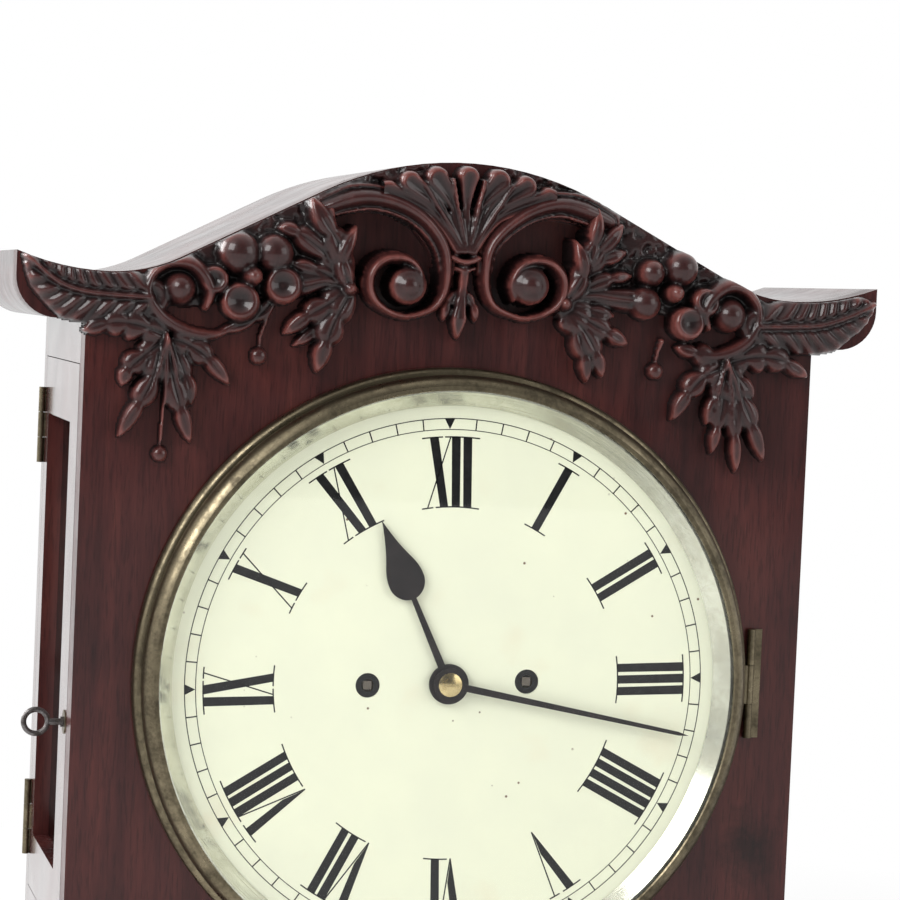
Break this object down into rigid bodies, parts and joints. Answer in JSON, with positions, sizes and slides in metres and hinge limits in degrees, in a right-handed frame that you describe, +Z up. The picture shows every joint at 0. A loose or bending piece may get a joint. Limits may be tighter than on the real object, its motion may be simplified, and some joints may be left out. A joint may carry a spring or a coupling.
{
  "type": "bracket clock",
  "caption": "Carved mahogany bracket clock: serpentine top with scrolls and leaves, round painted dial behind a hinged brass bezel, glazed side doors, fusee movement and pendulum.",
  "frame": {"origin": "on the floor at the middle of the overall box, midway across the case and midway between bezel rim and case back", "axes": "+X to the viewer's right, +Y to the back, +Z up"},
  "size_m": [0.4816, 0.2102, 0.573],
  "materials": {
    "mahogany": "french polished, deep red-brown",
    "carving": "carved mahogany, polished and dark in the hollows",
    "inner_wood": "unpolished oak",
    "bezel_brass": "aged lacquered brass",
    "brass": "movement brass",
    "steel": "grained steel",
    "dial_enamel": "cream paint with black figures",
    "blued_steel": "blue-black hands",
    "glass": "clear",
    "bell_metal": "cast bell metal",
    "gut": "gut line"
  },
  "bodies": {
    "case": {"case_front": "mahogany", "roof": "mahogany", "back_board": "mahogany", "case_side_left": "mahogany", "case_side_right": "mahogany", "plinth": "mahogany", "base_board": "inner_wood", "feet": "mahogany", "case_hinge_plates": "bezel_brass", "carved_palmette": "carving", "carved_scroll_left": "carving", "carved_scroll_right": "carving", "carved_spray_left": "carving", "carved_spray_right": "carving", "dial_seat": "mahogany", "dial_plate": "dial_enamel", "front_plate": "brass", "back_plate": "brass", "plate_pillars": "brass", "back_cock": "brass", "bell": "bell_metal", "bell_stand": "steel", "fusee_lines": "gut", "seatboard": "inner_wood", "seat_bolts": "steel"},
    "bezel": {"bezel_ring": "bezel_brass", "sight_ring": "bezel_brass", "bezel_glass": "glass", "bezel_hinge_leaf": "bezel_brass"},
    "door_left": {"side_door_left": "mahogany", "side_glass_left": "glass", "left_hinge_leaves": "brass", "lock_left": "brass"},
    "door_right": {"side_door_right": "mahogany", "side_glass_right": "glass", "right_hinge_leaves": "brass", "lock_right": "brass"},
    "key": {"key_left": "steel"},
    "lock_bolt": {"lock_bolt_left": "steel"},
    "minute_arbor": {"minute_hand": "blued_steel", "hand_collet": "brass", "centre_wheel": "brass", "cannon_pinion": "brass"},
    "hour_pipe": {"hour_hand": "blued_steel", "hour_wheel": "brass"},
    "minute_wheel": {"minute_wheel": "brass"},
    "going_great_wheel": {"going_great_wheel": "brass"},
    "third_wheel": {"third_wheel": "brass"},
    "escape_wheel": {"escape_wheel": "brass"},
    "going_fusee": {"going_fusee": "brass"},
    "going_barrel": {"going_barrel": "brass"},
    "strike_fusee": {"strike_fusee": "brass"},
    "strike_barrel": {"strike_barrel": "brass"},
    "strike_great_wheel": {"strike_great_wheel": "brass"},
    "strike_pin_wheel": {"strike_pin_wheel": "brass"},
    "strike_fly": {"strike_fly": "steel"},
    "anchor": {"anchor": "steel"},
    "pendulum": {"pendulum_rod": "steel", "pendulum_bob": "brass"},
    "hammer": {"hammer": "steel"}
  },
  "joints": [
    {"name": "bezel_hinge", "type": "hinge", "parent": "case", "child": "bezel", "pos_m": [0.1752, -0.0865, 0.29], "axis": [0, 0, 1], "range_deg": [0, 100]},
    {"name": "door_left_hinge", "type": "hinge", "parent": "case", "child": "door_left", "pos_m": [-0.2056, 0.09285, 0.29], "axis": [0, 0, -1], "range_deg": [0, 100]},
    {"name": "door_right_hinge", "type": "hinge", "parent": "case", "child": "door_right", "pos_m": [0.2056, 0.09285, 0.29], "axis": [0, 0, 1], "range_deg": [0, 100]},
    {"name": "key_turn", "type": "hinge", "parent": "door_left", "child": "key", "pos_m": [-0.2034, -0.0564, 0.262], "axis": [-1, 0, 0], "range_deg": [0, 90]},
    {"name": "lock_bolt_slide", "type": "slide", "parent": "door_left", "child": "lock_bolt", "axis": [0, -1, 0], "range_m": [0, 0.005]},
    {"name": "minute_hand_turn", "type": "hinge", "parent": "case", "child": "minute_arbor", "pos_m": [0, -0.0839, 0.29], "axis": [0, 1, 0], "continuous": true},
    {"name": "hour_hand_turn", "type": "hinge", "parent": "case", "child": "hour_pipe", "pos_m": [0, -0.0839, 0.29], "axis": [0, 1, 0], "continuous": true},
    {"name": "minute_wheel_turn", "type": "hinge", "parent": "case", "child": "minute_wheel", "pos_m": [0, -0.0839, 0.31925], "axis": [0, 1, 0], "continuous": true},
    {"name": "going_great_wheel_turn", "type": "hinge", "parent": "case", "child": "going_great_wheel", "pos_m": [0.0445, -0.0839, 0.29158], "axis": [0, 1, 0], "continuous": true},
    {"name": "third_wheel_turn", "type": "hinge", "parent": "case", "child": "third_wheel", "pos_m": [0.00707, -0.0839, 0.31637], "axis": [0, 1, 0], "continuous": true},
    {"name": "escape_wheel_turn", "type": "hinge", "parent": "case", "child": "escape_wheel", "pos_m": [0, -0.0839, 0.33428], "axis": [0, 1, 0], "continuous": true},
    {"name": "going_fusee_turn", "type": "hinge", "parent": "case", "child": "going_fusee", "pos_m": [0.0445, -0.0839, 0.29158], "axis": [0, 1, 0], "continuous": true},
    {"name": "going_barrel_turn", "type": "hinge", "parent": "case", "child": "going_barrel", "pos_m": [0.046, -0.0839, 0.23], "axis": [0, 1, 0], "continuous": true},
    {"name": "strike_fusee_turn", "type": "hinge", "parent": "case", "child": "strike_fusee", "pos_m": [-0.0445, -0.0839, 0.28841], "axis": [0, 1, 0], "continuous": true},
    {"name": "strike_barrel_turn", "type": "hinge", "parent": "case", "child": "strike_barrel", "pos_m": [-0.046, -0.0839, 0.23], "axis": [0, 1, 0], "continuous": true},
    {"name": "strike_great_wheel_turn", "type": "hinge", "parent": "case", "child": "strike_great_wheel", "pos_m": [-0.0445, -0.0839, 0.28841], "axis": [0, 1, 0], "continuous": true},
    {"name": "strike_pin_wheel_turn", "type": "hinge", "parent": "case", "child": "strike_pin_wheel", "pos_m": [-0.02927, -0.0839, 0.33026], "axis": [0, 1, 0], "continuous": true},
    {"name": "strike_fly_turn", "type": "hinge", "parent": "case", "child": "strike_fly", "pos_m": [-0.01937, -0.0839, 0.3474], "axis": [0, 1, 0], "continuous": true},
    {"name": "pendulum_swing", "type": "hinge", "parent": "case", "child": "pendulum", "pos_m": [0, -0.0839, 0.35828], "axis": [0, 1, 0], "range_deg": [-3, 3]},
    {"name": "anchor_swing", "type": "hinge", "parent": "case", "child": "anchor", "pos_m": [0, -0.0839, 0.35828], "axis": [0, 1, 0], "range_deg": [-3, 3]},
    {"name": "hammer_swing", "type": "hinge", "parent": "case", "child": "hammer", "pos_m": [-0.062, -0.0839, 0.368], "axis": [0, 1, 0], "range_deg": [-10, 3]}
  ],
  "couplings": [
    {"joint": "key_turn", "follows": "lock_bolt_slide", "rad_per_m": 314.16},
    {"joint": "hour_hand_turn", "follows": "minute_hand_turn", "ratio": 0.083333},
    {"joint": "minute_wheel_turn", "follows": "minute_hand_turn", "ratio": -1},
    {"joint": "going_great_wheel_turn", "follows": "minute_hand_turn", "ratio": -0.083333},
    {"joint": "third_wheel_turn", "follows": "minute_hand_turn", "ratio": -12},
    {"joint": "escape_wheel_turn", "follows": "minute_hand_turn", "ratio": 120},
    {"joint": "going_barrel_turn", "follows": "going_fusee_turn", "ratio": 0.5},
    {"joint": "strike_barrel_turn", "follows": "strike_fusee_turn", "ratio": 0.5},
    {"joint": "strike_pin_wheel_turn", "follows": "strike_great_wheel_turn", "ratio": -12},
    {"joint": "strike_fly_turn", "follows": "strike_great_wheel_turn", "ratio": 120},
    {"joint": "anchor_swing", "follows": "pendulum_swing", "ratio": 1}
  ]
}
